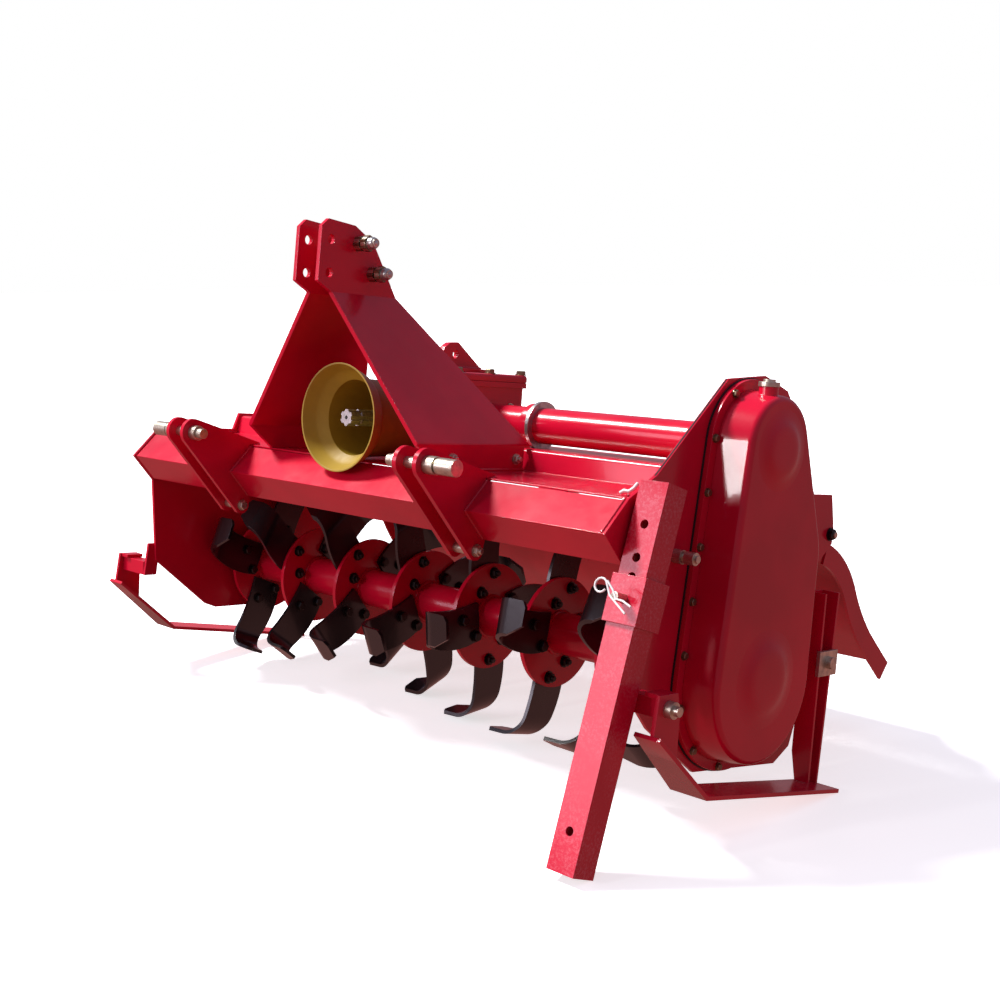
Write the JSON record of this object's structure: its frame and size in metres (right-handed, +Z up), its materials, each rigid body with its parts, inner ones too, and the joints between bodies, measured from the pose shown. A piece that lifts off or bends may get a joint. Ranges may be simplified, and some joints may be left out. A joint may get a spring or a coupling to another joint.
{
  "type": "rotary tiller",
  "caption": "Tractor-mounted rotary tiller with hitch mast, side gear case, bladed rotor, curved tailgate, skids and a parking leg.",
  "frame": {"origin": "middle of the bounding box at floor level, as the machine stands on its parking leg and skid heels", "axes": "+X to the gear case side, +Y to the rear (tailgate), +Z up; the hitch faces -Y"},
  "size_m": [1.7, 1.162, 1.1153],
  "materials": {
    "red_paint": "glossy crimson paint",
    "black_tines": "glossy black enamel",
    "yellow_guard": "yellow paint",
    "bright_steel": "machined, lightly oiled",
    "zinc_steel": "yellow zinc plate",
    "filler_cap": "painted cap"
  },
  "bodies": {
    "frame": {"case_cover": "red_paint", "case_flange": "red_paint", "case_screw": "zinc_steel", "drive_tube": "red_paint", "filler_cap": "filler_cap", "front_beam": "red_paint", "gearbox_cover": "red_paint", "gearbox_housing": "red_paint", "hitch_pin_left": "zinc_steel", "hitch_pin_right": "zinc_steel", "hitch_plates_inner_left": "red_paint", "hitch_plates_inner_right": "red_paint", "hitch_plates_outer_left": "red_paint", "hitch_plates_outer_right": "red_paint", "hitch_spacers": "zinc_steel", "hood": "red_paint", "input_guard": "yellow_guard", "leg_pin": "zinc_steel", "leg_sleeve": "red_paint", "lifting_plate": "red_paint", "mast_bolts": "zinc_steel", "mast_plate_left": "red_paint", "mast_plate_right": "red_paint", "rotor_bearing": "red_paint", "side_plate_left": "red_paint", "side_plate_right": "red_paint", "skid_arms_left": "red_paint", "skid_arms_right": "red_paint", "skid_bolts_left": "zinc_steel", "skid_bolts_right": "zinc_steel", "skid_left": "red_paint", "skid_right": "red_paint", "skid_strut_left": "red_paint", "skid_strut_right": "red_paint", "stay_bracket": "red_paint", "stay_pin": "zinc_steel", "tailgate_hinge_rod": "zinc_steel"},
    "rotor": {"rotor_shaft": "red_paint", "tines_left": "black_tines", "tines_right": "black_tines"},
    "input": {"input_shaft": "bright_steel"},
    "tailgate": {"tailgate": "red_paint"},
    "trunnion": {"stay_trunnion": "red_paint"},
    "stay": {"stay_rod": "zinc_steel"},
    "leg": {"parking_leg": "red_paint"}
  },
  "joints": [
    {"name": "rotor_spin", "type": "hinge", "parent": "frame", "child": "rotor", "pos_m": [0, -0.03728, 0.24777], "axis": [1, 0, 0], "continuous": true},
    {"name": "input_spin", "type": "hinge", "parent": "frame", "child": "input", "pos_m": [0.01, -0.38375, 0.71088], "axis": [0, -0.9955, 0.0952], "continuous": true},
    {"name": "tailgate_swing", "type": "hinge", "parent": "frame", "child": "tailgate", "pos_m": [0, 0.28892, 0.47574], "axis": [1, 0, 0], "range_deg": [0, 45]},
    {"name": "stay_swing", "type": "hinge", "parent": "frame", "child": "stay", "pos_m": [0.01, 0.15204, 0.65157], "axis": [1, 0, 0], "range_deg": [0, 22.3]},
    {"name": "trunnion_turn", "type": "hinge", "parent": "tailgate", "child": "trunnion", "pos_m": [0.01, 0.47844, 0.36719], "axis": [1, 0, 0], "range_deg": [-25, 0]},
    {"name": "leg_slide", "type": "slide", "parent": "frame", "child": "leg", "axis": [0, 0.3447, 0.9387], "range_m": [0, 0.397]}
  ],
  "couplings": [
    {"joint": "input_spin", "follows": "rotor_spin", "ratio": 2.5},
    {"joint": "stay_swing", "follows": "tailgate_swing", "ratio": 0.494},
    {"joint": "trunnion_turn", "follows": "tailgate_swing", "ratio": -0.506}
  ]
}
